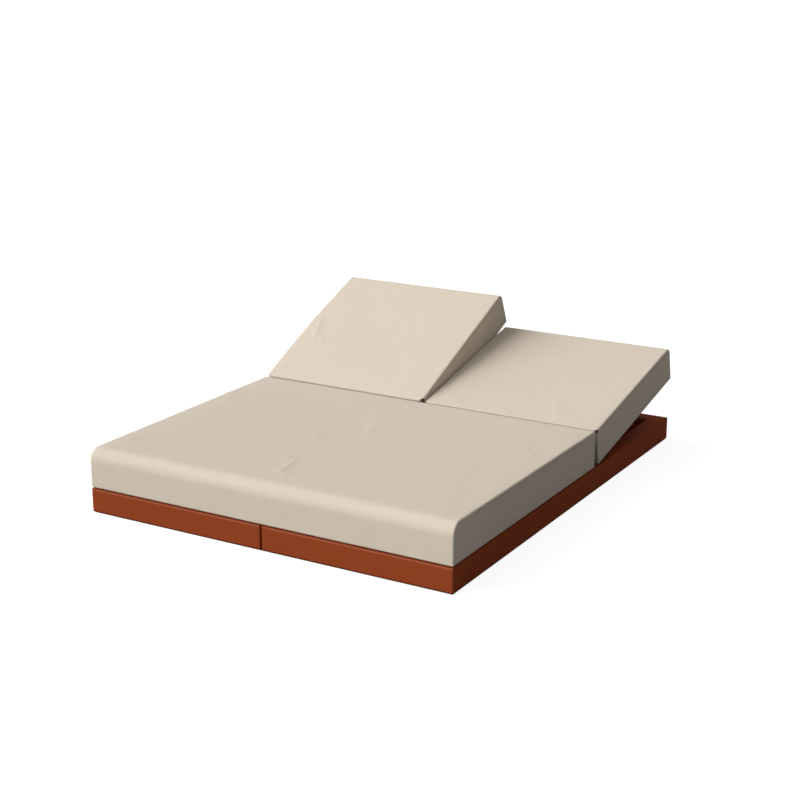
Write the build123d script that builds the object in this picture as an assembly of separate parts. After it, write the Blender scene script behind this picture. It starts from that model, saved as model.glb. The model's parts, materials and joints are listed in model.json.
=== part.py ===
from build123d import *
import os
from math import cos, hypot, radians, sin

# Double chaise lounger for a terrace. Two base modules of hollow box rails stand side by
# side and carry one wide seat cushion on slats. Behind the seat each half has its own back:
# a slatted frame that turns on two hinge pins, held up by a folding stay whose foot bar
# sits over a notched rack, and a cushion that lies on the frame.
#
# Millimetres. X runs across the lounger, right is +X. Y runs from the foot end to the head
# end. Z is up, and the floor is at zero. The origin is on the floor under the middle of the
# base. The backs are built lying flat and then raised to the two angles of the rest pose.

# Whole lounger. Its length follows from the seat and back cushions.
body_wide = 1600.0
seat_long = 1199.0
back_long = 798.8

# Box rails of the base modules
rail_high = 96.0
rail_wide = 70.0
inner_rail_wide = 40.0
rail_wall = 2.0
corner_radius = 6.0
edge_radius = 3.0
module_gap = 6.0

# Floor glides under the rails
glide_high = 4.0
glide_radius = 20.0
pad_wide = 76.0
pad_long = 46.0
pad_radius = 8.0
glide_from_end = 120.0

# Bolts that join the modules
bolt_radius = 4.0
bolt_hole_play = 0.2
bolt_head_radius = 7.5
bolt_head_high = 5.3
nut_high = 6.5
bolt_past_nut = 3.0
bolt_from_end = 95.0
bolt_above_rail_bottom = 30.0
spacer_radius = 13.0

# Slats and what carries them
slat_thick = 12.0
slat_wide = 70.0
slat_proud = 4.0
slat_end_play = 2.0
seat_slat_count = 12
back_slat_count = 7
ledge_wide = 20.0
ledge_high = 12.0
seat_bar_wide = 40.0
seat_bar_high = 26.0

# Tubes of the back frames
tube_wide = 20.0
tube_high = 24.0
tube_wall = 2.0
frame_play = 10.0
frame_nose_play = 10.0
cap_flange = 2.0
cap_depth = 14.0
cap_play = 0.1

# Hinges of the backs
hinge_behind_seam = 30.0
hinge_pin_radius = 6.0
bush_radius = 9.0
running_play = 0.05
side_play = 0.3
bracket_thick = 6.0
bracket_high = 36.0
bracket_radius = 6.0
ring_thick = 2.0
ring_radius = 9.0
pin_past_ring = 1.5

# Folding stays
stay_thick = 8.0
stay_high = 12.0
stay_pin_radius = 4.0
stay_pin_head_radius = 7.0
stay_pin_head_high = 2.0
stay_side_gap = 2.0
foot_radius = 7.0
foot_fold_play = 7.0
mid_bar_play = 4.0

# Notched racks
rack_thick = 6.0
rack_inboard = 17.0
rack_lift = 0.3
rack_end_play = 8.0
notch_radius = 7.0
notch_deep = 4.0
rack_bar_wide = 30.0
rack_bar_high = 20.0
rack_bar_above_rail_bottom = 20.0

# Cushions
cushion_thick = 155.0
cushion_inset = 0.5
cushion_lift = 0.3
seam_gap = 1.2
between_backs = 2.0
seat_nose_radius = 50.0
back_head_radius = 22.0
seam_edge_radius = 7.0
side_edge_radius = 12.0
bottom_edge_radius = 5.0
least_radius = 1.0
crown_high = 3.0
face_swell = 1.5
draw_in = 2.0

# Angles of the backs, in degrees: at rest, and at the top of their range
left_angle = 23.45
right_angle = 12.15
top_angle = 45.0

# Cushion sections across the width, as shares of half the width, and how much of the
# crown is gone at the ends
section_shares = (-0.8, -0.55, -0.28, 0.0, 0.28, 0.55, 0.8)
crown_fall_share = 0.8
edge_steps = 3

# Levels and places that follow from the sizes above
body_long = seat_long + seam_gap + back_long + 2 * cushion_inset
rail_bottom = glide_high
rail_top = rail_bottom + rail_high
slat_top = rail_top + slat_proud
frame_top = slat_top - slat_thick
hinge_z = frame_top - tube_high / 2
seam_z = slat_top + cushion_thick

y_front = -body_long / 2
y_rear = body_long / 2
well_front = y_front + rail_wide
well_rear = y_rear - rail_wide
seat_front = y_front + cushion_inset
seat_rear = seat_front + seat_long
back_front = seat_rear + seam_gap
back_rear = back_front + back_long
hinge_y = seat_rear + hinge_behind_seam
back_slats_front = hinge_y + tube_wall
seat_support_rear = hinge_y - hypot(tube_high / 2 + slat_thick, tube_wall) - frame_nose_play

frame_rear = well_rear - frame_play
foot_flat_y = frame_rear - tube_wide - foot_fold_play - foot_radius
stay_long = (foot_flat_y - hinge_y) / 2
stay_pin_y = hinge_y + stay_long

well_inner = module_gap / 2 + inner_rail_wide
well_outer = body_wide / 2 - rail_wide
tube_inside = frame_play + tube_wide
stay_inside = tube_inside + stay_side_gap + stay_thick
rack_from_rail = stay_inside + rack_inboard

rack_top = hinge_z - foot_radius - rack_lift
rack_bar_bottom = rail_bottom + rack_bar_above_rail_bottom
rack_bottom = rack_bar_bottom + rack_bar_high

parts = {}


def block(x_span, y_span, z_span):
    """A box between three pairs of coordinates, each pair in either order."""
    spans = (x_span, y_span, z_span)
    sizes = [abs(high - low) for low, high in spans]
    middle = [(low + high) / 2 for low, high in spans]
    return Pos(*middle) * Box(*sizes)


def rod(radius, x_span, y, z):
    """A round bar along X."""
    low, high = sorted(x_span)
    return Pos((low + high) / 2, y, z) * Rot(0, 90, 0) * Cylinder(radius, high - low)


def upright(radius, x, y, z_span):
    """A round bar along Z."""
    low, high = z_span
    return Pos(x, y, (low + high) / 2) * Cylinder(radius, high - low)


def nut_blank(radius, x_span, y, z):
    """A six-sided bar along X, as a bolt head or a nut."""
    low, high = sorted(x_span)
    face = Pos(low, y, z) * Rot(0, 90, 0) * RegularPolygon(radius, 6)
    return extrude(face, high - low, dir=(1, 0, 0))


def prism(points, z_span):
    """A straight solid over an outline in plan."""
    low, high = z_span
    outline = Polyline(*[(x, y, low) for x, y in points], close=True)
    return extrude(make_face(outline), high - low, dir=(0, 0, 1))


def hollow_bar(x_span, y_span, z_span):
    """A square tube along X with open ends."""
    y_low, y_high = y_span
    z_low, z_high = z_span
    bore = block(x_span, (y_low + tube_wall, y_high - tube_wall), (z_low + tube_wall, z_high - tube_wall))
    return block(x_span, y_span, z_span) - bore


def group(solids):
    """Separate solids kept as one node."""
    return Compound([solid for shape in solids for solid in shape.solids()])


def rail_faces(side):
    """The two rail faces that look into a module's well, each with its way inwards."""
    inner = (side * well_inner, side)
    outer = (side * well_outer, -side)
    return {"inner": inner, "outer": outer}


def from_face(face, near, far):
    """A span of X, measured from a rail face into the well."""
    x, way = face
    return (x + way * near, x + way * far)


def across_well(side, near):
    """A span of X across a module's well, with the same play at both rails."""
    return (side * (well_inner + near), side * (well_outer - near))


# Base

def module_ring(side):
    """One module's four rails before they are parted: a rounded ring with a hollow inside."""
    x_in = side * module_gap / 2
    x_out = side * body_wide / 2
    z_span = (rail_bottom, rail_top)
    ring = block((x_in, x_out), (y_front, y_rear), z_span)
    ring = fillet(ring.edges().filter_by(Axis.Z), corner_radius)
    ring = fillet(ring.faces().sort_by(Axis.Z)[-1].edges(), edge_radius)
    ring = fillet(ring.faces().sort_by(Axis.Z)[0].edges(), edge_radius)
    ring -= block((side * well_inner, side * well_outer), (well_front, well_rear), z_span)
    hollow = block(
        (x_in + side * rail_wall, x_out - side * rail_wall),
        (y_front + rail_wall, y_rear - rail_wall),
        (rail_bottom + rail_wall, rail_top - rail_wall),
    )
    hollow = fillet(hollow.edges().filter_by(Axis.Z), corner_radius - rail_wall)
    hollow -= block(
        (side * (well_inner - rail_wall), side * (well_outer + rail_wall)),
        (well_front - rail_wall, well_rear + rail_wall),
        z_span,
    )
    return ring - hollow


def bolt_places():
    """The places of the joining bolts along Y."""
    return (y_front + bolt_from_end, 0, y_rear - bolt_from_end)


def base_rails(side, name):
    """The four rails of a module, mitred at the corners."""
    ring = module_ring(side)
    x_in = side * module_gap / 2
    x_out = side * body_wide / 2
    outside = [(x_in, y_front), (x_out, y_front), (x_out, y_rear), (x_in, y_rear)]
    x_low = side * well_inner
    x_high = side * well_outer
    inside = [(x_low, well_front), (x_high, well_front), (x_high, well_rear), (x_low, well_rear)]
    for index, place in enumerate(("front", "outer", "rear", "inner")):
        after = (index + 1) % len(outside)
        corners = [outside[index], outside[after], inside[after], inside[index]]
        rail = ring & prism(corners, (rail_bottom, rail_top))
        if place == "inner":
            for y in bolt_places():
                z = rail_bottom + bolt_above_rail_bottom
                rail -= rod(bolt_radius + bolt_hole_play, (x_in, x_low), y, z)
        parts[f"{name}_{place}_rail"] = rail


def glides(side, name):
    """Round glides under a module's outer rail."""
    x = side * (body_wide / 2 - rail_wide / 2)
    places = (y_front + glide_from_end, 0, y_rear - glide_from_end)
    parts[f"{name}_glides"] = group([upright(glide_radius, x, y, (0, glide_high)) for y in places])


def centre_pads():
    """Pads under the two inner rails, each bridging both modules."""
    places = (y_front + glide_from_end, 0, y_rear - glide_from_end)
    pad = RectangleRounded(pad_wide, pad_long, pad_radius)
    parts["centre_pads"] = group([Pos(0, y, 0) * extrude(pad, glide_high) for y in places])


def module_joints():
    """Bolts, nuts and spacers that hold the two modules together."""
    z = rail_bottom + bolt_above_rail_bottom
    bolts, nuts, spacers = [], [], []
    for y in bolt_places():
        shank = rod(bolt_radius, (-well_inner, well_inner + nut_high + bolt_past_nut), y, z)
        head = nut_blank(bolt_head_radius, (-well_inner - bolt_head_high, -well_inner), y, z)
        bolts.append(shank + head)
        nut = nut_blank(bolt_head_radius, (well_inner, well_inner + nut_high), y, z)
        nuts.append(nut - rod(bolt_radius, (well_inner, well_inner + nut_high), y, z))
        gap = (-module_gap / 2, module_gap / 2)
        spacers.append(rod(spacer_radius, gap, y, z) - rod(bolt_radius + bolt_hole_play, gap, y, z))
    parts["joining_bolts"] = group(bolts)
    parts["joining_nuts"] = group(nuts)
    parts["module_spacers"] = group(spacers)


def seat_support(side, name):
    """Ledges, rear bar and slats under one half of the seat cushion."""
    y_span = (well_front, seat_support_rear)
    z_span = (frame_top - ledge_high, frame_top)
    for place, face in rail_faces(side).items():
        parts[f"{name}_{place}_ledge"] = block(from_face(face, 0, ledge_wide), y_span, z_span)
    bar_y = (seat_support_rear - seat_bar_wide, seat_support_rear)
    bar_z = (frame_top - seat_bar_high, frame_top)
    parts[f"{name}_seat_bar"] = hollow_bar(across_well(side, ledge_wide), bar_y, bar_z)
    first = well_front + slat_end_play
    step = (seat_support_rear - slat_wide - first) / (seat_slat_count - 1)
    slats = []
    for index in range(seat_slat_count):
        low = first + index * step
        slats.append(block(across_well(side, slat_end_play), (low, low + slat_wide), (frame_top, slat_top)))
    parts[f"{name}_seat_slats"] = group(slats)


# Racks for the feet of the stays

def foot_y(angle):
    """Where the foot bar stands when the back is at an angle."""
    return hinge_y + 2 * stay_long * cos(radians(angle))


def notch_places():
    """Notches at one pitch: the two rest angles lie in neighbouring notches."""
    first = foot_y(min(left_angle, right_angle))
    pitch = abs(foot_y(right_angle) - foot_y(left_angle))
    count = int((first - foot_y(top_angle)) / pitch) + 1
    return [first - index * pitch for index in range(count)]


def racks(side, name):
    """Two notched plates on two bars across the well."""
    y_span = (foot_y(top_angle) - foot_radius - rack_end_play, frame_rear - tube_wide - rack_end_play)
    for place, face in rail_faces(side).items():
        x_span = from_face(face, rack_from_rail, rack_from_rail + rack_thick)
        rack = block(x_span, y_span, (rack_bottom, rack_top))
        for y in notch_places():
            rack -= rod(notch_radius, x_span, y, rack_top + notch_radius - notch_deep)
        parts[f"{name}_{place}_rack"] = rack
    low, high = y_span
    bars = []
    for bar_y in ((low, low + rack_bar_wide), (high - rack_bar_wide, high)):
        bars.append(hollow_bar(across_well(side, 0), bar_y, (rack_bar_bottom, rack_bottom)))
    parts[f"{name}_rack_bars"] = group(bars)


# Hinges

def hinges(side, name):
    """Brackets and pins on the rails, and flanged bushes in the back frame's tubes."""
    brackets, pins, bushes = [], [], []
    for face in rail_faces(side).values():
        plate = block(
            from_face(face, 0, bracket_thick),
            (hinge_y - bracket_high / 2, hinge_y + bracket_high / 2),
            (hinge_z - bracket_high / 2, hinge_z + bracket_high / 2),
        )
        plate = fillet(plate.edges().filter_by(Axis.X), bracket_radius)
        brackets.append(plate - rod(hinge_pin_radius, from_face(face, 0, bracket_thick), hinge_y, hinge_z))
        ring_near = tube_inside + side_play
        ring_far = ring_near + ring_thick
        pin = rod(hinge_pin_radius, from_face(face, 0, ring_far + pin_past_ring), hinge_y, hinge_z)
        pins.append(pin + rod(ring_radius, from_face(face, ring_near, ring_far), hinge_y, hinge_z))
        flange_near = bracket_thick + side_play
        bush = rod(bush_radius, from_face(face, flange_near, tube_inside), hinge_y, hinge_z)
        flange = from_face(face, flange_near, frame_play)
        bush += rod(tube_high / 2, flange, hinge_y, hinge_z)
        bore = from_face(face, flange_near, tube_inside)
        bushes.append(bush - rod(hinge_pin_radius + running_play, bore, hinge_y, hinge_z))
    parts[f"{name}_hinge_brackets"] = group(brackets)
    parts[f"{name}_hinge_pins"] = group(pins)
    return group(bushes)


# Back frames, built lying flat

def side_tube(face):
    """A hollow side tube with a round nose about the hinge axis."""
    x_span = from_face(face, frame_play, tube_inside)
    x_bore = from_face(face, frame_play + tube_wall, tube_inside - tube_wall)
    tube = block(x_span, (hinge_y, frame_rear), (hinge_z - tube_high / 2, frame_top))
    tube += rod(tube_high / 2, x_span, hinge_y, hinge_z)
    half = tube_high / 2 - tube_wall
    bore = block(x_bore, (hinge_y, frame_rear), (hinge_z - half, hinge_z + half))
    bore += rod(half, x_bore, hinge_y, hinge_z)
    tube -= bore
    tube -= rod(bush_radius, x_span, hinge_y, hinge_z)
    return tube - rod(stay_pin_radius, x_span, stay_pin_y, hinge_z)


def tube_cap(face):
    """A plastic plug in the rear end of a side tube."""
    x_bore = from_face(face, frame_play + tube_wall + cap_play, tube_inside - tube_wall - cap_play)
    half = tube_high / 2 - tube_wall - cap_play
    plug = block(x_bore, (frame_rear - cap_depth, frame_rear), (hinge_z - half, hinge_z + half))
    x_span = from_face(face, frame_play, tube_inside)
    flange = block(x_span, (frame_rear, frame_rear + cap_flange), (hinge_z - tube_high / 2, frame_top))
    return plug + flange


def cross_bar(side, y_low):
    """A square tube between the side tubes."""
    z_span = (hinge_z - tube_high / 2, frame_top)
    return hollow_bar(across_well(side, tube_inside), (y_low, y_low + tube_wide), z_span)


def back_slats(side):
    """The slats on top of a back frame."""
    step = (frame_rear - slat_wide - back_slats_front) / (back_slat_count - 1)
    slats = []
    for index in range(back_slat_count):
        low = back_slats_front + index * step
        slats.append(block(across_well(side, frame_play), (low, low + slat_wide), (frame_top, slat_top)))
    return slats


def stay_pins(side):
    """Pins that hold the stay's arms inside the side tubes."""
    pins = []
    for face in rail_faces(side).values():
        arm_face = stay_inside + side_play
        pin = rod(stay_pin_radius, from_face(face, frame_play, arm_face), stay_pin_y, hinge_z)
        head = from_face(face, frame_play - stay_pin_head_high, frame_play)
        tip = from_face(face, arm_face, arm_face + stay_pin_head_high)
        pin += rod(stay_pin_head_radius, head, stay_pin_y, hinge_z)
        pin += rod(stay_pin_head_radius, tip, stay_pin_y, hinge_z)
        pins.append(pin)
    return group(pins)


def back_frame(side, bushes):
    """Everything that turns with a back, apart from its stay and its cushion."""
    faces = rail_faces(side)
    mid_bar_y = stay_pin_y - stay_pin_head_radius - mid_bar_play - tube_wide
    pieces = {
        "back_inner_tube": side_tube(faces["inner"]),
        "back_outer_tube": side_tube(faces["outer"]),
        "back_front_bar": cross_bar(side, hinge_y + tube_high / 2),
        "back_mid_bar": cross_bar(side, mid_bar_y),
        "back_rear_bar": cross_bar(side, frame_rear - tube_wide),
        "back_slats": group(back_slats(side)),
        "back_tube_caps": group([tube_cap(face) for face in faces.values()]),
        "hinge_bushes": bushes,
        "stay_pins": stay_pins(side),
    }
    return pieces


# Stays, built folded flat

def stay(side):
    """Two arms and the foot bar between them."""
    pieces = {}
    for place, face in rail_faces(side).items():
        x_span = from_face(face, tube_inside + stay_side_gap, stay_inside)
        half = stay_high / 2
        arm = block(x_span, (stay_pin_y, foot_flat_y), (hinge_z - half, hinge_z + half))
        arm += rod(stay_pin_head_radius, x_span, stay_pin_y, hinge_z)
        arm += rod(foot_radius, x_span, foot_flat_y, hinge_z)
        arm -= rod(stay_pin_radius + running_play, x_span, stay_pin_y, hinge_z)
        pieces[f"stay_{place}_arm"] = arm
    foot = rod(foot_radius, across_well(side, stay_inside), foot_flat_y, hinge_z)
    pieces["stay_foot_bar"] = foot
    return pieces


# Cushions

def corner_arc(x, y, z, radius, start):
    """A quarter round about a point, from one angle in degrees, in a plane across X."""
    points = []
    for angle in (start, start + 45, start + 90):
        turn = radians(angle)
        points.append((x, y + radius * cos(turn), z + radius * sin(turn)))
    return ThreePointArc(*points)


def end_face(start, end, swell):
    """The line of a cushion's end face: straight at a seam, standing out a little elsewhere."""
    if swell == 0:
        return Line(start, end)
    x, y, z = [(a + b) / 2 for a, b in zip(start, end)]
    return ThreePointArc(start, (x, y + swell, z), end)


def cushion_section(x, y_span, z_span, nose, head, inset, crown, swell):
    """One closed outline across X: flat below, crowned on top, with round edges.

    The nose is the radius of the top edge at the foot end and the head is the one at the
    other end. Swell gives how far the faces at the two ends stand out at mid height.
    """
    y_low = y_span[0] + inset
    y_high = y_span[1] - inset
    foot = max(bottom_edge_radius - inset, least_radius)
    z_low = z_span[0] + min(inset, bottom_edge_radius)
    z_high = z_span[1] - inset
    near = max(nose - inset, least_radius)
    far = max(head - inset, least_radius)
    y_mid = (y_low + y_high) / 2
    edges = [
        Line((x, y_low + foot, z_low), (x, y_high - foot, z_low)),
        corner_arc(x, y_high - foot, z_low + foot, foot, -90),
        end_face((x, y_high, z_low + foot), (x, y_high, z_high - far), swell[1]),
        corner_arc(x, y_high - far, z_high - far, far, 0),
        ThreePointArc((x, y_high - far, z_high), (x, y_mid, z_high + crown), (x, y_low + near, z_high)),
        corner_arc(x, y_low + near, z_high - near, near, 90),
        end_face((x, y_low, z_high - near), (x, y_low, z_low + foot), -swell[0]),
        corner_arc(x, y_low + foot, z_low + foot, foot, 180),
    ]
    return make_face(Wire(edges))


def cushion(x_span, y_span, z_span, nose, head, drawn, swell):
    """A cushion lofted across X: crowned, with its free ends drawn in between the corners."""
    x_low, x_high = sorted(x_span)
    middle = (x_low + x_high) / 2
    half = (x_high - x_low) / 2
    stations = []
    for step in range(edge_steps + 1):
        turn = radians(90 - 90 * step / edge_steps)
        inset = side_edge_radius * (1 - cos(turn))
        reach = half - side_edge_radius * (1 - sin(turn))
        stations.append((-reach, inset))
        stations.append((reach, inset))
    stations += [(share * half, 0) for share in section_shares]
    sections = []
    for offset, inset in sorted(stations):
        fall = (offset / half) ** 2
        crown = crown_high * (1 - crown_fall_share * fall)
        pull = draw_in * (1 - fall)
        y_here = (y_span[0] + drawn[0] * pull, y_span[1] - drawn[1] * pull)
        sections.append(cushion_section(middle + offset, y_here, z_span, nose, head, inset, crown, swell))
    return loft(sections, ruled=True)


def seat_cushion():
    """The one wide cushion over both modules."""
    half = body_wide / 2 - cushion_inset
    z_span = (slat_top, seam_z)
    swell = (face_swell, 0)
    solid = cushion((-half, half), (seat_front, seat_rear), z_span, seat_nose_radius,
                    seam_edge_radius, (1, 0), swell)
    parts["seat_cushion"] = solid


def back_cushion(side):
    """One back cushion, lying flat on its frame."""
    x_span = (side * between_backs / 2, side * (body_wide / 2 - cushion_inset))
    z_span = (slat_top + cushion_lift, seam_z + cushion_lift)
    swell = (0, face_swell)
    return cushion(x_span, (back_front, back_rear), z_span, seam_edge_radius,
                   back_head_radius, (0, 1), swell)


# Raising the backs

def seam_slide(angle):
    """How far a cushion moves up its frame so that its front face stays at the seam."""
    turn = radians(angle)
    return (seam_z - hinge_z) * sin(turn) + hinge_behind_seam * (1 - cos(turn))


def raised(shape, angle):
    """A shape of the flat back, turned up about the hinge axis."""
    return shape.rotate(Axis((0, hinge_y, hinge_z), (1, 0, 0)), angle)


def back(side, name, angle):
    """One back with its stay and cushion at its rest angle."""
    bushes = hinges(side, name)
    for place, shape in back_frame(side, bushes).items():
        parts[f"{name}_{place}"] = raised(shape, angle)
    pivot = Axis((0, stay_pin_y, hinge_z), (1, 0, 0))
    for place, shape in stay(side).items():
        parts[f"{name}_{place}"] = raised(shape.rotate(pivot, -2 * angle), angle)
    pushed = Pos(0, seam_slide(angle), 0) * back_cushion(side)
    parts[f"{name}_back_cushion"] = raised(pushed, angle)


def build():
    """The whole lounger, and one file for each named piece."""
    for side, name, angle in ((-1, "left", left_angle), (1, "right", right_angle)):
        base_rails(side, name)
        glides(side, name)
        seat_support(side, name)
        racks(side, name)
        back(side, name, angle)
    centre_pads()
    module_joints()
    seat_cushion()
    os.makedirs("parts", exist_ok=True)
    for name, shape in parts.items():
        export_step(shape, f"parts/{name}.step")


build()
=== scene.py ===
"""Looks of the double chaise lounger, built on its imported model.

The three cushions are modelled here: each starts as a foam block with rounded edges, gets its
cover by a cloth simulation, and then its sewn edges and a few creases. The rails, frames, racks
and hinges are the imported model's own pieces, and get their finishes here.
"""

import json
from math import cos, exp, pi, radians, sin, tanh

import bmesh
import bpy
from bpy.props import FloatProperty, FloatVectorProperty, PointerProperty
from mathutils import Matrix, Vector, noise


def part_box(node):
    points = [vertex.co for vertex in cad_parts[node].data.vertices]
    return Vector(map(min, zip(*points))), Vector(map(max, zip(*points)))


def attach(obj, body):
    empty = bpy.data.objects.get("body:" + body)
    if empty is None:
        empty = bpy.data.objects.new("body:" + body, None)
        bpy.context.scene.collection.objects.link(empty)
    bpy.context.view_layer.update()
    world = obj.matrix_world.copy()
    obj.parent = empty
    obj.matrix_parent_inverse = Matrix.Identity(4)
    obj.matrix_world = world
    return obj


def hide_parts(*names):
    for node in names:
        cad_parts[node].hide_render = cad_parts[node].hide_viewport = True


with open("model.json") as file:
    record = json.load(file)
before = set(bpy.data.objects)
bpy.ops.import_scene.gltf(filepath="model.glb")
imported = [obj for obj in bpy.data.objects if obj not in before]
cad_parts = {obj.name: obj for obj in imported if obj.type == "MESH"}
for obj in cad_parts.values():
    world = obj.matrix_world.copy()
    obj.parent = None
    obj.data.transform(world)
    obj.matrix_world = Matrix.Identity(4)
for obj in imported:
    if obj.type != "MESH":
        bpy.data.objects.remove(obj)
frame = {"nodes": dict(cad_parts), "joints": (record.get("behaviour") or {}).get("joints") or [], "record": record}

bl_info = {
    "name": "Double Chaise Lounger",
    "version": (1, 0, 0),
    "blender": (4, 5, 0),
    "location": "View3D > Sidebar > Lounger",
    "description": "Cushions, finishes and a plain studio for a double chaise lounger",
    "category": "Object",
}

SIDES = ("left", "right")

# Fixed values, with sizes in metres

# how near points and planes count as the same, from exact cuts to the cover's own faces
SAME_POINT = 1e-6
ON_PLANE = 1e-5
ALONG_X = 1e-4
ON_PANEL = 0.0005
ON_FACE = 0.001

# how far the normals point to the side on the side panels, to the foot end of the lounger where
# the rails get a painted highlight, upwards where the cover creases, and to the seam where the
# cover gets painted shade
PANEL_FACING = 0.99
HIGHLIGHT_FACING = -0.3
TOP_FACING = 0.5
SEAM_SHADE_FACING = 0.3

# a round long edge gets four segments, and one more for each of these steps of its radius
ARC_STEP = 0.006

# rows of mesh cells keep clear of the round edges, of the two ends and of the bottom
EDGE_CLEAR = 0.002
FOOT_END_CLEAR = 0.020
HEAD_END_CLEAR = 0.018
BOTTOM_CLEAR = 0.018

# cuts in the rounding along a side panel, and how far the panels' weave is moved on the map
SIDE_STEPS = 4
PANEL_SHIFT = 3.0

# how far from an edge the cover reaches its full swell, and the swell up to which it is held
PANEL_RISE = 0.05
TOP_RISE = 0.04
SIDE_RISE = 0.07
FOOT_RISE = 0.05
FIRM_SWELL = 0.0004

# the cover's simulation: pressure, length, cap of a move as a share of the swell, and evening
PRESSURE = 4
LAST_FRAME = 20
OVERSHOOT = 1.3
EVENING_ROUNDS = 14

# the sewn groove's half width and how much painted shade and puckering its two sides get, and the faint waves on
# top
GROOVE_HALF = 0.0013
GROOVE_SIDES_SHADE_AND_PUCKERS = 0.45
WAVE_HEIGHT = 0.0004
WAVES_PER_METRE = 9

# a crease is a long fold between two short ones: how far ahead and how long as shares of its
# half length, how far beside as a share of its width, and its share of the height
FOLDS = ((0.0, 0.45, 0.0, 1.0), (0.40, 0.22, 3.4, 0.75), (-0.42, 0.22, -3.2, 0.75))

# how far beside its middle a crease reaches and how far it sways to and fro, as shares of its
# width, and the angle in radians that the sway runs through in its half length
CREASE_REACH = 7
CREASE_SWAY = 0.6
SWAY_ANGLE = 5

# the pulled-in corners: how far along the top and down the face the pull reaches, as shares of
# its depth, how fast it fades sideways, how strong the painted shade in the hole is, and how
# near the face that shade is painted
CORNER_ALONG = 3
CORNER_DOWN = 1.2
CORNER_FADE = 1.5
CORNER_SHADE = 3
CORNER_FACE = 0.006

# the painted highlight line's middle below a rail's top and its half width, and the painted shadow along the
# bottom
HIGHLIGHT_BELOW = 0.0048
HIGHLIGHT_HALF = 0.0026
SHADOW_FULL = 0.003
SHADOW_END = 0.006
SHADOW_SHARE = 0.75
SHADOW_TONE = 0.2

FLOOR_RADIUS = 90
CAMERA_REACH = 300


# Sizes and colours that a user would change

class CushionSettings(bpy.types.PropertyGroup):
    """Shape of the three cushions"""

    nose_radius: FloatProperty(
        name="Nose radius", description="Round top edge at the foot end of the seat",
        default=0.050, unit="LENGTH")
    head_radius: FloatProperty(
        name="Head radius", description="Round top edge at the head end of each back",
        default=0.023, unit="LENGTH")
    seam_edge_radius: FloatProperty(
        name="Seam edge radius", description="Round top edges where seat and backs meet",
        default=0.007, unit="LENGTH")
    side_radius: FloatProperty(
        name="Side radius", description="Round edges along the sides",
        default=0.007, unit="LENGTH")
    foot_radius: FloatProperty(
        name="Bottom radius", description="Round bottom edges",
        default=0.006, unit="LENGTH")
    seam_end_share: FloatProperty(
        name="Upright edges at the seam",
        description="Roundness of these edges, as a share of the side radius",
        default=1.7)
    free_end_share: FloatProperty(
        name="Free upright edges",
        description="Roundness of these edges, as a share of the side radius",
        default=0.5)
    corner_wide: FloatProperty(
        name="Pulled corner width",
        description="Width of the pulled-in corners of the backs at the seam",
        default=0.018, unit="LENGTH")
    corner_deep: FloatProperty(
        name="Pulled corner depth", description="How far these corners are pulled in",
        default=0.020, unit="LENGTH")
    cell: FloatProperty(
        name="Mesh cell", description="Size of the mesh cells that the cover is simulated with",
        default=0.0152, unit="LENGTH")
    crown: FloatProperty(
        name="Crown", description="How far the middle of a cushion stands above its edges",
        default=0.0015, unit="LENGTH")
    bulge: FloatProperty(
        name="Bulge", description="How far a free side stands out in its middle",
        default=0.0007, unit="LENGTH")
    rear_drop: FloatProperty(
        name="Rear drop", description="How far the seat's top falls off towards the seam",
        default=0.004, unit="LENGTH")
    rear_reach: FloatProperty(
        name="Rear reach", description="How far before the seam the seat's top starts to fall",
        default=0.032, unit="LENGTH")
    seam_depth: FloatProperty(
        name="Seam depth", description="Depth of the sewn edge of a side panel",
        default=0.0009, unit="LENGTH")


class FabricSettings(bpy.types.PropertyGroup):
    """Outdoor fabric of the cushions"""

    colour: FloatVectorProperty(
        name="Colour", description="Mean colour of the fabric",
        default=(0.640, 0.553, 0.456), subtype="COLOR", size=3, min=0, max=1)
    rib_pitch: FloatProperty(
        name="Rib pitch", description="Distance from rib to rib",
        default=0.0032, unit="LENGTH")
    thread_pitch: FloatProperty(
        name="Thread pitch", description="Distance between the threads across the ribs",
        default=0.0016, unit="LENGTH")


class FinishSettings(bpy.types.PropertyGroup):
    """Finishes of the frame"""

    # colour of the painted highlight that stands for light caught by the rails' top edges at the foot end
    edge_highlight: FloatVectorProperty(
        name="Rubbed lacquer",
        description="Colour along the rails' top edges at the foot end, where the coat is rubbed",
        default=(0.385, 0.150, 0.095), subtype="COLOR", size=3, min=0, max=1)
    lacquer: FloatVectorProperty(
        name="Lacquer", description="Colour of the lacquered rails, tubes and racks",
        default=(0.281, 0.0555, 0.0170), subtype="COLOR", size=3, min=0, max=1)
    wood: FloatVectorProperty(
        name="Slats", description="Colour of the stained slats",
        default=(0.110, 0.045, 0.022), subtype="COLOR", size=3, min=0, max=1)
    nylon: FloatVectorProperty(
        name="Nylon", description="Colour of the glides, caps and bushes",
        default=(0.022, 0.022, 0.024), subtype="COLOR", size=3, min=0, max=1)
    steel: FloatVectorProperty(
        name="Steel", description="Colour of the bare steel pins, bolts and nuts",
        default=(0.52, 0.51, 0.49), subtype="COLOR", size=3, min=0, max=1)


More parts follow.
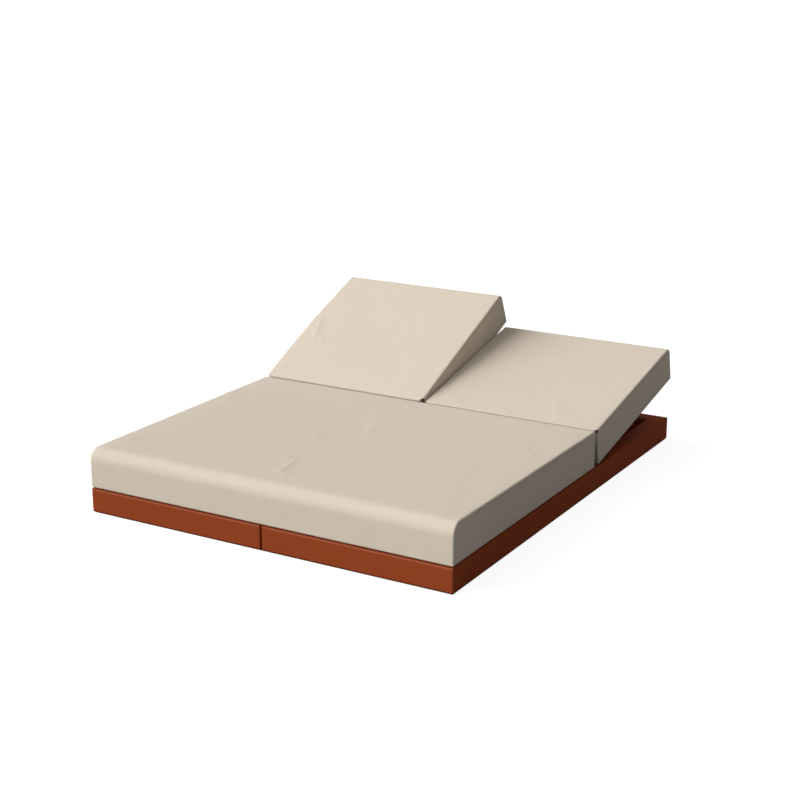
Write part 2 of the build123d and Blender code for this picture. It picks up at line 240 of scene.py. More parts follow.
class StudioSettings(bpy.types.PropertyGroup):
    """Floor, light and camera"""

    sun_power: FloatProperty(
        name="Key light", description="Strength of the large soft key light",
        default=4.6)
    sun_size: FloatProperty(
        name="Key light size", description="How large the key light looks from the lounger",
        default=radians(71), unit="ROTATION")
    sun_from: FloatVectorProperty(
        name="Key light from", description="Direction that the key light comes from",
        default=(-2.2, -1.09, 1.0), size=3, subtype="DIRECTION")
    sky: FloatProperty(
        name="Fill light", description="Strength of the even light from all round",
        default=0.385)
    sky_lean: FloatVectorProperty(
        name="Fill light lean", description="How much more of the even light comes from one side",
        default=(-0.5, -0.5), size=2)
    floor_shade: FloatProperty(
        name="Floor shade", description="Share of the light that the floor gives back",
        default=0.25, min=0, max=1)
    floor_white: FloatProperty(
        name="Floor white", description="Light of its own that whitens the floor for the camera",
        default=0.90, min=0, max=1)
    floor_shaded: FloatProperty(
        name="Shaded floor", description="How far inside the base's outline the floor turns dark",
        default=0.005, unit="LENGTH")
    lens: FloatProperty(
        name="Lens", description="Focal length in millimetres",
        default=71.8777)
    camera_place: FloatVectorProperty(
        name="Camera place", description="Where the camera stands",
        default=(3.1852, -5.4479, 2.2184), size=3, subtype="TRANSLATION", unit="LENGTH")
    camera_turn: FloatProperty(
        name="Camera turn", description="Turn of the camera to the left, seen from above",
        default=radians(30.2654), unit="ROTATION")
    camera_dip: FloatProperty(
        name="Camera dip", description="Angle of the camera below the horizon",
        default=radians(16.7507), unit="ROTATION")


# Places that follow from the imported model

def joint_named(name):
    """The joint of that name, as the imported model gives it."""
    return next(joint for joint in frame["joints"] if joint["name"] == name)


def raising(side):
    """The turn that raises a back from lying flat to its rest angle."""
    joint = joint_named(f"{side}_back_tilt")
    hinge = Vector(joint["pos_m"])
    turn = Matrix.Rotation(radians(-joint["range_deg"][0]), 4, "X")
    return Matrix.Translation(hinge) @ turn @ Matrix.Translation(-hinge)


def box_before(node, raised):
    """A node's lowest and highest corner before it was raised."""
    flat = raised.inverted()
    places = [flat @ vertex.co for vertex in frame["nodes"][node].data.vertices]
    low = Vector([min(place[axis] for place in places) for axis in range(3)])
    high = Vector([max(place[axis] for place in places) for axis in range(3)])
    return low, high


# Materials

def shaded(colour, share):
    """A colour brought to a share of its brightness."""
    return [channel * share for channel in colour] + [1]


class Wiring:
    """Shader nodes in the making, with short ways to add a node and to join it."""

    def __init__(self, tree):
        self.tree = tree

    def add(self, kind, inputs=None, **settings):
        """Adds a node. Each input is a number, a colour or another node's output."""
        node = self.tree.nodes.new("ShaderNode" + kind)
        for name, value in settings.items():
            setattr(node, name, value)
        for name, value in (inputs or {}).items():
            self.join(value, node.inputs[name])
        return node

    def join(self, value, socket):
        """Joins an output to an input, or sets the input."""
        if isinstance(value, bpy.types.NodeSocket):
            self.tree.links.new(value, socket)
        else:
            socket.default_value = value

    def math(self, operation, first, second):
        """Two numbers worked into one."""
        return self.add("Math", {0: first, 1: second}, operation=operation).outputs[0]

    def mixed(self, *parts):
        """Numbers added up, each with its share."""
        total = None
        for value, share in parts:
            part = self.math("MULTIPLY", value, share)
            total = self.math("ADD", total, part) if total else part
        return total

    def seen(self):
        """One where a ray comes from the camera, a mirror or glass."""
        path = self.add("LightPath").outputs
        either = self.math("MAXIMUM", path["Is Camera Ray"], path["Is Glossy Ray"])
        return self.math("MAXIMUM", either, path["Is Transmission Ray"])


class Recipe(Wiring):
    """A material in the making."""

    def __init__(self, name, **surface):
        self.material = bpy.data.materials.new(name)
        self.material.use_nodes = True
        super().__init__(self.material.node_tree)
        self.surface = self.tree.nodes["Principled BSDF"]
        for socket, value in surface.items():
            self.surface.inputs[socket.replace("_", " ")].default_value = value

    def stretched(self, vector, scale):
        """Coordinates scaled by a different number along each axis."""
        return self.add("Mapping", {"Vector": vector, "Scale": scale}).outputs[0]

    def noise(self, vector, scale, detail=2.0, roughness=0.5):
        """Soft random values around one half."""
        return self.add("TexNoise", {"Vector": vector, "Scale": scale, "Detail": detail,
                                     "Roughness": roughness}).outputs["Fac"]

    def bands(self, vector, axis, pitch, distortion=0.0):
        """Waves across an axis, with a pitch in metres. At a scale of 1 it is pi / 10."""
        return self.add("TexWave", {"Vector": vector, "Scale": pi / 10 / pitch,
                                    "Distortion": distortion, "Detail": 1.0},
                        bands_direction=axis).outputs["Fac"]

    def blend(self, share, first, second):
        """Two colours mixed by a share."""
        node = self.add("Mix", data_type="RGBA")
        for index, value in ((0, share), (6, first), (7, second)):
            self.join(value, node.inputs[index])
        return node.outputs[2]

    def shades(self, share, colour, spread):
        """A colour that runs from darker to lighter by a share around one half."""
        return self.blend(share, shaded(colour, 1 - spread), shaded(colour, 1 + spread))

    def bump(self, height, distance, below=None):
        """A bump of that height in metres, on top of another."""
        inputs = {"Height": height, "Distance": distance, "Strength": 1.0}
        if below:
            inputs["Normal"] = below
        return self.add("Bump", inputs).outputs[0]


def fabric(settings):
    """Ribbed outdoor fabric: ribs, fine threads across them, uneven yarns and soft creases."""
    recipe = Recipe("ribbed_fabric", Roughness=0.93, Specular_IOR_Level=0.12,
                    Sheen_Weight=0.05, Sheen_Roughness=0.6)
    weave = recipe.add("UVMap", uv_map="Weave").outputs[0]
    ribs = recipe.bands(weave, "X", settings.rib_pitch, distortion=0.15)
    threads = recipe.bands(weave, "Y", settings.thread_pitch, distortion=0.1)
    yarns = recipe.noise(recipe.stretched(weave, (190, 9, 1)), 1.0, detail=3.0, roughness=0.6)
    slubs = recipe.noise(recipe.stretched(weave, (14, 120, 1)), 1.0)
    clouds = recipe.noise(weave, 3.2, detail=3.0)
    mottled = recipe.mixed((yarns, 0.62), (clouds, 0.20), (slubs, 0.18))
    tone = recipe.shades(mottled, settings.colour, 0.095)
    tone = recipe.blend(recipe.math("MULTIPLY", ribs, 0.07), tone, shaded(settings.colour, 0.80))
    # painted shade in the seam grooves, darkest at their bottoms; the same mark sets the puckers
    sewn = recipe.add("Attribute", attribute_name="sewn").outputs["Fac"]
    tone = recipe.blend(recipe.math("MULTIPLY", sewn, 0.30), tone, shaded(settings.colour, 0.62))
    # painted shade on the faces where the cushions meet at the seam, and in the holes by the pulled-in corners
    seam_shade = recipe.add("Attribute", attribute_name="seam_shade").outputs["Fac"]
    tone = recipe.blend(seam_shade, tone, shaded(settings.colour, 0.12))
    recipe.join(tone, recipe.surface.inputs["Base Color"])
    creases = recipe.noise(recipe.stretched(weave, (11, 7, 9)), 1.0)
    puckers = recipe.math("MULTIPLY", recipe.noise(weave, 75, detail=1.0), sewn)
    relief = recipe.bump(creases, 0.0022)
    relief = recipe.bump(puckers, 0.0016, relief)
    relief = recipe.bump(yarns, 0.00035, relief)
    relief = recipe.bump(ribs, 0.00012, relief)
    relief = recipe.bump(threads, 0.00006, relief)
    recipe.join(relief, recipe.surface.inputs["Normal"])
    return recipe.material


def lacquer(settings, rail=None):
    """Baked lacquer on steel: an even coat with a faint orange peel and slight shade changes.

    The bottom and top height of a rail add a painted highlight under its top edge and a painted shadow along its
    bottom edge.
    """
    name = "rail_lacquer" if rail else "baked_lacquer"
    recipe = Recipe(name, Roughness=0.6, Specular_IOR_Level=0.01)
    place = recipe.add("TexCoord").outputs["Object"]
    clouds = recipe.noise(place, 5.0, detail=3.0)
    specks = recipe.noise(place, 420.0, detail=1.0)
    tone = recipe.shades(recipe.mixed((clouds, 0.6), (specks, 0.4)), settings.lacquer, 0.07)
    if rail:
        tone = painted_edge_light_and_shade(recipe, settings, tone, *rail)
    recipe.join(tone, recipe.surface.inputs["Base Color"])
    relief = recipe.bump(recipe.noise(place, 260.0), 0.00012)
    relief = recipe.bump(recipe.noise(place, 1400.0, detail=1.0), 0.00003, relief)
    recipe.join(relief, recipe.surface.inputs["Normal"])
    return recipe.material


def painted_edge_light_and_shade(recipe, settings, tone, bottom, top):
    """A painted highlight line under the top edge at the foot end, and a painted shadow along the bottom edge."""
    place = recipe.add("TexCoord").outputs
    height = recipe.add("SeparateXYZ", {0: place["Object"]}).outputs[2]
    facing = recipe.add("SeparateXYZ", {0: place["Normal"]}).outputs[1]
    # painted highlight: a lighter line just under the top edge, on faces towards the foot end
    off = recipe.math("ABSOLUTE", recipe.math("SUBTRACT", height, top - HIGHLIGHT_BELOW), 0.0)
    fading = {"Value": off, "From Max": HIGHLIGHT_HALF, "To Min": 1.0, "To Max": 0.0}
    highlight = recipe.add("MapRange", fading).outputs[0]
    highlight = recipe.math("MULTIPLY", highlight, recipe.math("LESS_THAN", facing, HIGHLIGHT_FACING))
    tone = recipe.blend(highlight, tone, [*settings.edge_highlight, 1])
    # painted shadow: darker towards the bottom edge, where the rail meets the floor
    fading = {"Value": height, "From Min": bottom + SHADOW_FULL, "From Max": bottom + SHADOW_END,
              "To Min": SHADOW_SHARE, "To Max": 0.0}
    contact_shadow = recipe.add("MapRange", fading).outputs[0]
    return recipe.blend(contact_shadow, tone, shaded(settings.lacquer, SHADOW_TONE))


def stained_wood(settings):
    """Stained hardwood slats, with the grain along them."""
    recipe = Recipe("stained_wood", Roughness=0.6, Specular_IOR_Level=0.3)
    place = recipe.add("TexCoord").outputs["Object"]
    fibres = recipe.stretched(place, (5, 130, 130))
    grain = recipe.noise(fibres, 1.0, detail=4.0, roughness=0.65)
    boards = recipe.noise(recipe.stretched(place, (0.7, 9, 1)), 1.0, detail=1.0)
    tone = recipe.shades(recipe.mixed((grain, 0.7), (boards, 0.3)), settings.wood, 0.5)
    recipe.join(tone, recipe.surface.inputs["Base Color"])
    recipe.join(recipe.bump(grain, 0.0004), recipe.surface.inputs["Normal"])
    return recipe.material


def moulded_nylon(settings):
    """Black nylon with a fine moulded texture."""
    recipe = Recipe("moulded_nylon", Roughness=0.62, Specular_IOR_Level=0.35)
    place = recipe.add("TexCoord").outputs["Object"]
    grain = recipe.noise(place, 900.0)
    recipe.join(recipe.shades(grain, settings.nylon, 0.25), recipe.surface.inputs["Base Color"])
    recipe.join(recipe.bump(grain, 0.00008), recipe.surface.inputs["Normal"])
    return recipe.material


def drawn_steel(settings):
    """Bare stainless steel, drawn along its length."""
    recipe = Recipe("drawn_steel", Metallic=1.0, Roughness=0.34)
    place = recipe.add("TexCoord").outputs["Object"]
    lines = recipe.noise(recipe.stretched(place, (40, 1500, 1500)), 1.0)
    recipe.join(recipe.shades(lines, settings.steel, 0.12), recipe.surface.inputs["Base Color"])
    recipe.join(recipe.bump(lines, 0.00003), recipe.surface.inputs["Normal"])
    return recipe.material


# Each of the record's material slots, with the finish that its pieces get
FINISHES = {
    "rust_coat": lacquer,
    "slat_wood": stained_wood,
    "black_nylon": moulded_nylon,
    "stainless": drawn_steel,
}


def pieces_of(slot):
    """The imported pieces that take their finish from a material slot."""
    rows = frame["record"]["subparts"]
    return [frame["nodes"][row["node"]] for row in rows if row["material_slot"] == slot]


# Cushions

class CushionBlock:
    """A foam block lying flat: its box, and the radius of each of its four long edges.

    The shares tell how much of the side radius the upright edges get at the foot end and at
    the head end.
    """

    def __init__(self, low, high, front, rear, shares, shape):
        self.low, self.high = low, high
        self.shares = shares
        self.side = shape.side_radius
        self.foot = shape.foot_radius
        self.cell = shape.cell
        self.edges = (
            (low.y, high.z, -1, 1, front),
            (high.y, high.z, 1, 1, rear),
            (low.y, low.z, -1, -1, shape.foot_radius),
            (high.y, low.z, 1, -1, shape.foot_radius),
        )

    def drawn_in(self, place, inset):
        """Where a point of the outline goes when the outline is drawn in by an inset."""
        down = min(inset, self.foot)
        for y, z, way_y, way_z, radius in self.edges:
            out_y = (place.y - y) * way_y + radius
            out_z = (place.z - z) * way_z + radius
            if out_y < -SAME_POINT or out_z < -SAME_POINT:
                continue
            small = max(radius - inset, self.foot / 5)
            drawn_y = inset * self.shares[way_y > 0] + small - out_y * small / radius
            drawn_z = (inset if way_z > 0 else down) + small - out_z * small / radius
            return Vector((place.x, y - way_y * drawn_y, z - way_z * drawn_z))
        new = place.copy()
        if abs(place.y - self.low.y) < ON_PLANE:
            new.y += inset * self.shares[0]
        elif abs(place.y - self.high.y) < ON_PLANE:
            new.y -= inset * self.shares[1]
        elif abs(place.z - self.high.z) < ON_PLANE:
            new.z -= inset
        elif abs(place.z - self.low.z) < ON_PLANE:
            new.z += down
        return new


def slice_across(mesh, parts, axis, place):
    """Cuts the given parts of a mesh at a place along an axis."""
    point, normal = Vector(), Vector()
    point[axis], normal[axis] = place, 1
    bmesh.ops.bisect_plane(mesh, geom=parts, dist=SAME_POINT, plane_co=point, plane_no=normal)


def even_steps(low, high, cell):
    """Places between two ends, about a cell apart."""
    count = max(1, round((high - low) / cell))
    return [low + (high - low) * step / count for step in range(count + 1)]


def foam_block(block):
    """The block's closed mesh: a rounded outline, cut into cells and drawn out across X."""
    low, high = block.low, block.high
    mesh = bmesh.new()
    bmesh.ops.create_grid(mesh, x_segments=1, y_segments=1, size=1)
    for vertex in mesh.verts:
        y = low.y if vertex.co.x < 0 else high.y
        z = low.z if vertex.co.y < 0 else high.z
        vertex.co = Vector((low.x, y, z))
    for y, z, _, _, radius in block.edges:
        place = Vector((low.x, y, z))
        corner = [vertex for vertex in mesh.verts if (vertex.co - place).length < SAME_POINT]
        bmesh.ops.bevel(mesh, geom=corner, offset=radius, segments=4 + int(radius / ARC_STEP),
                        profile=0.5, affect="VERTICES", material=-1)
    front_radius, rear_radius = block.edges[0][4], block.edges[1][4]
    front = max(front_radius, FOOT_END_CLEAR) + EDGE_CLEAR
    rear = max(rear_radius, HEAD_END_CLEAR) + EDGE_CLEAR
    top = max(front_radius, rear_radius) + EDGE_CLEAR
    rows = [(1, y) for y in even_steps(low.y + front, high.y - rear, block.cell)]
    rows += [(2, z) for z in even_steps(low.z + BOTTOM_CLEAR, high.z - top, block.cell)]
    for axis, place in rows:
        slice_across(mesh, mesh.verts[:] + mesh.edges[:] + mesh.faces[:], axis, place)
    drawn = bmesh.ops.extrude_face_region(mesh, geom=mesh.faces[:])["geom"]
    far = [item for item in drawn if isinstance(item, bmesh.types.BMVert)]
    bmesh.ops.translate(mesh, verts=far, vec=(high.x - low.x, 0, 0))
    bmesh.ops.recalc_face_normals(mesh, faces=mesh.faces)
    round_sides(mesh, block)
    return mesh


def long_edges(mesh):
    """The edges that run along X."""
    return [edge for edge in mesh.edges
            if abs(edge.verts[0].co.x - edge.verts[1].co.x) > ALONG_X]


def round_sides(mesh, block):
    """Cuts the block across X, and rounds its two side panels' edges."""
    steps = [radians(90 * step / SIDE_STEPS) for step in range(SIDE_STEPS + 1)]
    reach = {}
    for turn in steps:
        offset = block.side * (1 - sin(turn))
        inset = block.side * (1 - cos(turn))
        reach[round(block.low.x + offset, 6)] = inset
        reach[round(block.high.x - offset, 6)] = inset
    for x in sorted(reach)[1:-1]:
        edges = long_edges(mesh)
        faces = list(dict.fromkeys(face for edge in edges for face in edge.link_faces))
        verts = list(dict.fromkeys(vertex for edge in edges for vertex in edge.verts))
        slice_across(mesh, verts + edges + faces, 0, x)
    wide = [edge for edge in long_edges(mesh) if edge.calc_length() > block.side * 2]
    cuts = round((block.high.x - block.low.x) / block.cell) - 1
    bmesh.ops.subdivide_edges(mesh, edges=wide, cuts=cuts, use_grid_fill=True)
    for edge in mesh.edges:
        panels = [abs(face.normal.x) > PANEL_FACING for face in edge.link_faces]
        edge.seam = sum(panels) == 1
    for vertex in mesh.verts:
        inset = reach.get(round(vertex.co.x, 6), 0)
        if inset:
            vertex.co = block.drawn_in(vertex.co, inset)


def lay_weave(mesh, block):
    """Gives the cover a map in metres: ribs run over the nose, and up the side panels."""
    layer = mesh.loops.layers.uv.new("Weave")
    middle = (block.low.y + block.high.y) / 2
    mesh.normal_update()
    for face in mesh.faces:
        panel = abs(face.normal.x) > PANEL_FACING
        front = face.calc_center_median().y < middle
        for loop in face.loops:
            x, y, z = loop.vert.co
            if panel:
                loop[layer].uv = (y + PANEL_SHIFT, z)
            else:
                loop[layer].uv = (x, y + z - block.high.z if front else y - z + block.high.z)


def eased(share):
    """Rises from 0 to 1 and then stays there."""
    return sin(min(max(share, 0), 1) * pi / 2)


def swell(place, block, shape):
    """How far the cover may stand off the foam at a point."""
    beside = min(place.x - block.low.x, block.high.x - place.x)
    ahead = min(place.y - block.low.y, block.high.y - place.y)
    above = place.z - block.low.z
    below = block.high.z - place.z
    if beside < ON_PANEL:
        return shape.bulge * eased((min(ahead, above, below) - block.side) / PANEL_RISE)
    level = shape.crown + (shape.bulge - shape.crown) * eased(below / TOP_RISE)
    return level * eased((beside - block.side) / SIDE_RISE) * eased(above / FOOT_RISE)


def firmness(place, block, held, shape):
    """How firmly the foam holds a point of the cover: 1 is fixed, and less lets it swell."""
    near_low = place.z < block.low.z + ON_FACE
    near_held = abs(place.y - (block.low.y if held < 0 else block.high.y)) < ON_FACE
    if near_low or near_held:
        return 1.0
    return FIRM_SWELL / max(swell(place, block, shape), FIRM_SWELL)


def evened(moves, edges, rounds):
    """Averages each vertex's move with its neighbours', which takes small ripples out."""
    for _ in range(rounds):
        sums, counts = [move.copy() for move in moves], [1] * len(moves)
        for first, second in edges:
            sums[first] += moves[second]
            sums[second] += moves[first]
            counts[first] += 1
            counts[second] += 1
        moves = [total / count for total, count in zip(sums, counts)]
    return moves


def fit_cover(piece, block, held, shape):
    """Simulates the cover over the foam, and keeps the result within a small swell."""
    seeds = [vertex.co.copy() for vertex in piece.data.vertices]
    firm = [firmness(place, block, held, shape) for place in seeds]
    foam = piece.vertex_groups.new(name="foam")
    for index, share in enumerate(firm):
        foam.add([index], share, "REPLACE")
    cover = piece.modifiers.new("Cover", "CLOTH")
    cloth = cover.settings
    cloth.quality = 5
    cloth.mass = 0.3
    cloth.use_pressure = True
    cloth.uniform_pressure_force = PRESSURE
    cloth.effector_weights.gravity = 0
    cloth.vertex_group_mass = foam.name
    cloth.tension_stiffness = cloth.compression_stiffness = 15
    cloth.shear_stiffness = 5
    cloth.bending_stiffness = 0.5
    cover.collision_settings.use_collision = False
    cover.point_cache.frame_start, cover.point_cache.frame_end = 1, LAST_FRAME
    scene = bpy.context.scene
    for moment in range(1, LAST_FRAME + 1):
        scene.frame_set(moment)
    shown = piece.evaluated_get(bpy.context.evaluated_depsgraph_get())
    swollen = [vertex.co.copy() for vertex in shown.data.vertices]
    piece.modifiers.remove(cover)
    piece.vertex_groups.remove(foam)
    scene.frame_set(1)
    limits = [reach * OVERSHOOT for reach in (shape.bulge, shape.bulge, shape.crown)]
    moves = [Vector([limit * tanh(way / limit) for way, limit in zip(end - start, limits)])
             for start, end in zip(seeds, swollen)]
    edges = [tuple(edge.vertices) for edge in piece.data.edges]
    moves = evened(moves, edges, EVENING_ROUNDS)
    for vertex, start, move, share in zip(piece.data.vertices, seeds, moves, firm):
        if share < 1:
            vertex.co = start + move


def sew_edges(mesh, depth):
    """Draws the side panels' outlines in, as a seam with a narrow groove, marked for painted shade and puckers."""
    layer = mesh.verts.layers.float.new("sewn")
    seams = [edge for edge in mesh.edges if edge.seam]
    out = bmesh.ops.bevel(mesh, geom=seams, offset=GROOVE_HALF, segments=2, profile=0.5,
                          affect="EDGES", material=-1, clamp_overlap=True)
    strip = set(out["faces"])
    mesh.normal_update()
    for vertex in out["verts"]:
        # the groove's sides and bottom are marked for painted shade and puckers
        vertex[layer] = GROOVE_SIDES_SHADE_AND_PUCKERS
        if all(face in strip for face in vertex.link_faces):
            vertex.co -= vertex.normal * depth
            vertex[layer] = 1.0


def crease_height(place, marks):
    """Height of the creases at a point on top of a cushion."""
    height = 0
    for x, y, turn, length, width, high in marks:
        along = (place.x - x) * cos(turn) + (place.y - y) * sin(turn)
        across = (place.y - y) * cos(turn) - (place.x - x) * sin(turn)
        if abs(along) > length or abs(across) > CREASE_REACH * width:
            continue
        across += CREASE_SWAY * width * sin(SWAY_ANGLE * along / length)
        for ahead, reach, beside, share in FOLDS:
            fade = exp(-(((along / length - ahead) / reach) ** 2))
            height += high * share * fade * exp(-0.5 * (across / width - beside) ** 2)
    return height


def cushion(name, block, held, marks, shade_at_seam, shape):
    """A whole cushion lying flat: foam block, cover, sewn edges and creases.

    The end held at the seam is +1 for the head end and -1 for the foot end, and its face gets
    painted shade, as the cushions press together there.
    """
    mesh = foam_block(block)
    lay_weave(mesh, block)
    data = bpy.data.meshes.new(name)
    mesh.to_mesh(data)
    mesh.free()
    piece = bpy.data.objects.new(name, data)
    bpy.context.scene.collection.objects.link(piece)
    fit_cover(piece, block, held, shape)
    mesh = bmesh.new()
    mesh.from_mesh(data)
    sew_edges(mesh, shape.seam_depth)
    mesh.to_mesh(data)
    mesh.free()
    smooth = piece.modifiers.new("Smooth", "SUBSURF")
    smooth.levels = smooth.render_levels = 1
    shown = piece.evaluated_get(bpy.context.evaluated_depsgraph_get())
    finished = bpy.data.meshes.new_from_object(shown)
    piece.modifiers.clear()
    piece.data = finished
    finished.name = name
    normals = [normal.vector.copy() for normal in finished.vertex_normals]
    seam_shade = finished.attributes.new("seam_shade", "FLOAT", "POINT").data
    # painted shade on the face held at the seam
    for vertex, normal, mark in zip(finished.vertices, normals, seam_shade):
        mark.value = shade_at_seam * min(max(held * normal.y / SEAM_SHADE_FACING - 1, 0), 1)
        if normal.z > TOP_FACING:
            waves = WAVE_HEIGHT * noise.noise(vertex.co * WAVES_PER_METRE)
            vertex.co.z += crease_height(vertex.co, marks) + waves
    finished.shade_smooth()
    return piece


def dress(piece, body, node):
    """Gives a cushion its fabric and body, and hides the imported node that it stands in for."""
    piece.data.materials.clear()
    piece.data.materials.append(bpy.data.materials["ribbed_fabric"])
    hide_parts(node)
    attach(piece, body)


# Operators

class LOUNGER_OT_studio(bpy.types.Operator):
    """Makes the camera, the lights and the pale floor"""

    bl_idname = "lounger.studio"
    bl_label = "Studio"

    def execute(self, context):
        settings = context.scene.lounger_studio
        context.scene.view_settings.view_transform = "Standard"
        self.add_camera(context, settings)
        self.add_sun(context, settings)
        self.add_sky(context, settings)
        self.add_floor(context, settings)
        return {"FINISHED"}

    def add_camera(self, context, settings):
        data = bpy.data.cameras.new("camera")
        data.lens = settings.lens
        data.clip_end = CAMERA_REACH
        camera = bpy.data.objects.new("camera", data)
        camera.location = settings.camera_place
        camera.rotation_euler = (pi / 2 - settings.camera_dip, 0, settings.camera_turn)
        context.scene.collection.objects.link(camera)
        context.scene.camera = camera

    def add_sun(self, context, settings):
        data = bpy.data.lights.new("key_light", "SUN")
        data.energy = settings.sun_power
        data.angle = settings.sun_size
        lamp = bpy.data.objects.new("key_light", data)
        lamp.rotation_euler = Vector(settings.sun_from).to_track_quat("Z", "Y").to_euler()
        context.scene.collection.objects.link(lamp)

    def add_sky(self, context, settings):
        world = bpy.data.worlds.new("sky")
        world.use_nodes = True
        wiring = Wiring(world.node_tree)
        way = wiring.add("SeparateXYZ", {0: wiring.add("TexCoord").outputs["Generated"]}).outputs
        fill = 1.0
        for axis, lean in enumerate(settings.sky_lean):
            fill = wiring.math("ADD", fill, wiring.math("MULTIPLY", way[axis], lean))
        fill = wiring.math("MULTIPLY", wiring.math("MAXIMUM", fill, 0.0), settings.sky)
        level = wiring.add("MapRange", {"Value": wiring.seen(), "To Min": fill, "To Max": 1.0})
        background = wiring.tree.nodes["Background"]
        background.inputs["Color"].default_value = (1, 1, 1, 1)
        wiring.join(level.outputs[0], background.inputs["Strength"])
        context.scene.world = world

    def add_floor(self, context, settings):
        mesh = bmesh.new()
        bmesh.ops.create_circle(mesh, cap_ends=True, segments=64, radius=FLOOR_RADIUS)
        data = bpy.data.meshes.new("floor")
        mesh.to_mesh(data)
        mesh.free()
        floor = bpy.data.objects.new("floor", data)
        context.scene.collection.objects.link(floor)
        recipe = Recipe("pale_floor", Roughness=1.0, Specular_IOR_Level=0.0)
        shade = settings.floor_shade
        recipe.surface.inputs["Base Color"].default_value = (shade, shade, shade, 1)
        recipe.surface.inputs["Emission Color"].default_value = (1, 1, 1, 1)
        white = recipe.math("MULTIPLY", recipe.seen(), settings.floor_white)
        white = recipe.math("MULTIPLY", white, self.beside_base(recipe, settings.floor_shaded))
        recipe.join(white, recipe.surface.inputs["Emission Strength"])
        data.materials.append(recipe.material)

    def beside_base(self, recipe, inside):
        """One on the floor around the base, and nothing on the floor under it."""
        low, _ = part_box("left_outer_rail")
        _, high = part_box("right_outer_rail")
        place = recipe.add("TexCoord").outputs["Object"]
        axes = recipe.add("SeparateXYZ", {0: place}).outputs
        beside = 0.0
        for axis in (0, 1):
            ends = ((low[axis] + inside, "LESS_THAN"), (high[axis] - inside, "GREATER_THAN"))
            for end, past in ends:
                beside = recipe.math("MAXIMUM", beside, recipe.math(past, axes[axis], end))
        return beside


class LOUNGER_OT_finishes(bpy.types.Operator):
    """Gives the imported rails, frames, slats, racks and hinges their finishes"""

    bl_idname = "lounger.finishes"
    bl_label = "Frame finishes"

    def execute(self, context):
        settings = context.scene.lounger_finish
        for slot, make in FINISHES.items():
            found = pieces_of(slot)
            if not found:
                raise RuntimeError(f"no piece takes its finish from {slot}")
            material = make(settings)
            for piece in found:
                piece.data.materials.clear()
                piece.data.materials.append(material)
        low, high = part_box("left_outer_rail")
        # the rails' lacquer carries the painted highlight and the painted shadow
        edge_highlight = lacquer(settings, (low.z, high.z))
        for name, piece in frame["nodes"].items():
            if name.endswith("_rail"):
                piece.data.materials.clear()
                piece.data.materials.append(edge_highlight)
        return {"FINISHED"}


class LOUNGER_OT_fabric(bpy.types.Operator):
    """Makes the ribbed fabric of the cushions"""

    bl_idname = "lounger.fabric"
    bl_label = "Fabric"

    def execute(self, context):
        fabric(context.scene.lounger_fabric)
        return {"FINISHED"}


class LOUNGER_OT_seat_cushion(bpy.types.Operator):
    """Makes the wide seat cushion, with its round nose at the foot end"""

    bl_idname = "lounger.seat_cushion"
    bl_label = "Seat cushion"

    settled = 0.002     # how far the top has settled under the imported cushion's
    # strength of the painted shade on the seat's face at the seam
    shade_at_seam = 0.57         # how dark the face at the seam is
    # creases on the top: middle x and y, turn, half length, width of a fold and height
    marks = (
        (0.002, -0.198, radians(104), 0.21, 0.010, 0.0018),
        (-0.025, -0.790, radians(104), 0.19, 0.009, 0.0024),
        (0.583, -0.541, radians(88), 0.19, 0.009, 0.0014),
        (0.669, -0.155, radians(108), 0.16, 0.009, 0.0016),
        (-0.142, -0.412, radians(109), 0.10, 0.009, 0.0016),
        (0.665, -0.802, radians(96), 0.14, 0.009, 0.0013),
        (-0.738, -0.832, radians(108), 0.12, 0.009, 0.0021),
        (-0.744, -0.154, radians(113), 0.13, 0.009, 0.0021),
    )

    def execute(self, context):
        shape = context.scene.lounger_cushion
        low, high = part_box("seat_cushion")
        low.y += 2 * shape.bulge
        high.z -= self.settled
        shares = (shape.free_end_share, shape.seam_end_share)
        block = CushionBlock(low, high, shape.nose_radius, shape.seam_edge_radius, shares, shape)
        piece = cushion("seat_cushion_cover", block, 1, self.marks, self.shade_at_seam, shape)
        self.drop_rear(piece.data, block, shape)
        dress(piece, "base", "seat_cushion")
        return {"FINISHED"}

    def drop_rear(self, mesh, block, shape):
        """Lets the top fall off towards the seam with the backs."""
        middle = (block.low.z + block.high.z) / 2
        for vertex in mesh.vertices:
            near = 1 - (block.high.y - vertex.co.y) / shape.rear_reach
            upper = (vertex.co.z - middle) / (block.high.z - middle)
            if near > 0 and upper > 0:
                vertex.co.z -= shape.rear_drop * near * near * min(upper, 1)


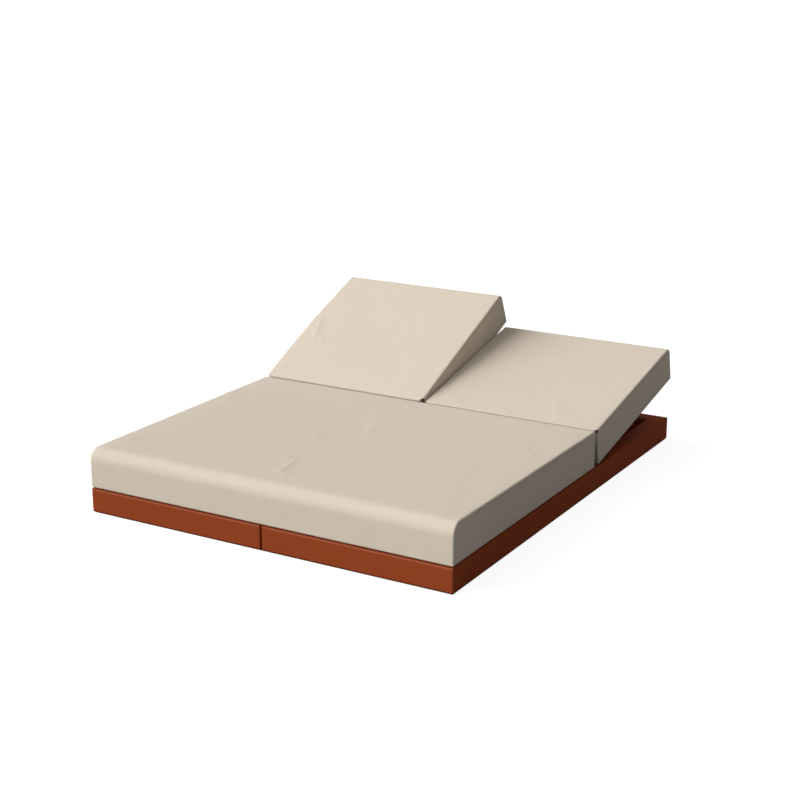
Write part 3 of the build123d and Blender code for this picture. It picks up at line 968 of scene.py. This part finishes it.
class LOUNGER_OT_back_cushions(bpy.types.Operator):
    """Makes the two back cushions, each on its raised frame"""

    bl_idname = "lounger.back_cushions"
    bl_label = "Back cushions"

    settled = {"left": 0.001, "right": 0.004}
    bowed = {"left": 0.011, "right": 0.0}
    # strength of the painted shade on each back's face at the seam
    shade_at_seam = {"left": 0.08, "right": 0.55}
    # creases, as on the seat, on the backs lying flat
    marks = {
        "left": ((-0.739, 0.646, radians(113), 0.21, 0.010, 0.0019),),
        "right": (
            (0.698, 0.628, radians(88), 0.12, 0.010, -0.0012),
            (0.578, 0.336, radians(92), 0.12, 0.010, 0.0015),
        ),
    }

    def execute(self, context):
        shape = context.scene.lounger_cushion
        for side in SIDES:
            raised = raising(side)
            node = f"{side}_back_cushion"
            low, high = box_before(node, raised)
            high.y -= 2 * shape.bulge
            high.z -= self.settled[side]
            shares = (shape.seam_end_share, shape.free_end_share)
            radii = (shape.seam_edge_radius, shape.head_radius)
            block = CushionBlock(low, high, *radii, shares, shape)
            marks, shade_at_seam = self.marks[side], self.shade_at_seam[side]
            piece = cushion(f"{node}_cover", block, -1, marks, shade_at_seam, shape)
            self.bow_side(piece.data, block, self.bowed[side])
            self.pull_in_corners(piece.data, block, shape)
            piece.data.transform(raised)
            dress(piece, f"{side}_cushion", node)
        return {"FINISHED"}

    def bow_side(self, mesh, block, reach):
        """Lets the left side bow out along its length."""
        middle = (block.low.x + block.high.x) / 2
        for vertex in mesh.vertices:
            beside = max(middle - vertex.co.x, 0) / (middle - block.low.x)
            along = (vertex.co.y - block.low.y) / (block.high.y - block.low.y)
            vertex.co.x -= reach * beside * beside * sin(pi * min(max(along, 0), 1))

    def pull_in_corners(self, mesh, block, shape):
        """Pulls the two top corners at the seam in, which leaves a small hole beside each, darkened with painted
        shade.
        """
        seam_shade = mesh.attributes["seam_shade"].data
        for vertex, mark in zip(mesh.vertices, seam_shade):
            x, y, z = vertex.co
            beside = 1 - min(x - block.low.x, block.high.x - x) / shape.corner_wide
            behind = 1 - (y - block.low.y) / (CORNER_ALONG * shape.corner_deep)
            below = 1 - (block.high.z - z) / (CORNER_DOWN * shape.corner_deep)
            if min(beside, behind, below) > 0:
                pull = min(beside, 1) ** CORNER_FADE * min(behind, 1) * min(below, 1)
                vertex.co.y += shape.corner_deep * pull
                # painted shade on the face by the pulled-in corner, for the dark hole
                if y < block.low.y + CORNER_FACE:
                    mark.value = max(mark.value, min(CORNER_SHADE * pull, 1))


class LOUNGER_PT_panel(bpy.types.Panel):
    """Lists the lounger's pieces and their settings"""

    bl_idname = "LOUNGER_PT_panel"
    bl_label = "Double Chaise Lounger"
    bl_space_type = "VIEW_3D"
    bl_region_type = "UI"
    bl_category = "Lounger"

    def draw(self, context):
        for name, operators in SECTIONS:
            box = self.layout.box()
            settings = getattr(context.scene, name)
            for key in settings.__annotations__:
                box.prop(settings, key)
            for operator in operators:
                box.operator(operator.bl_idname)


SETTINGS = {
    "lounger_studio": StudioSettings,
    "lounger_finish": FinishSettings,
    "lounger_fabric": FabricSettings,
    "lounger_cushion": CushionSettings,
}

SECTIONS = (
    ("lounger_studio", (LOUNGER_OT_studio,)),
    ("lounger_finish", (LOUNGER_OT_finishes,)),
    ("lounger_fabric", (LOUNGER_OT_fabric,)),
    ("lounger_cushion", (LOUNGER_OT_seat_cushion, LOUNGER_OT_back_cushions)),
)

OPERATORS = tuple(operator for _, operators in SECTIONS for operator in operators)


def register():
    for cls in (*SETTINGS.values(), *OPERATORS, LOUNGER_PT_panel):
        bpy.utils.register_class(cls)
    for name, settings in SETTINGS.items():
        setattr(bpy.types.Scene, name, PointerProperty(type=settings))


def unregister():
    for name in SETTINGS:
        delattr(bpy.types.Scene, name)
    for cls in (LOUNGER_PT_panel, *reversed(OPERATORS), *reversed(SETTINGS.values())):
        bpy.utils.unregister_class(cls)


def main():
    """Builds everything in order."""
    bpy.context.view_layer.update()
    register()
    bpy.ops.lounger.studio()
    bpy.ops.lounger.finishes()
    bpy.ops.lounger.fabric()
    bpy.ops.lounger.seat_cushion()
    bpy.ops.lounger.back_cushions()


if __name__ == "__main__":
    main()
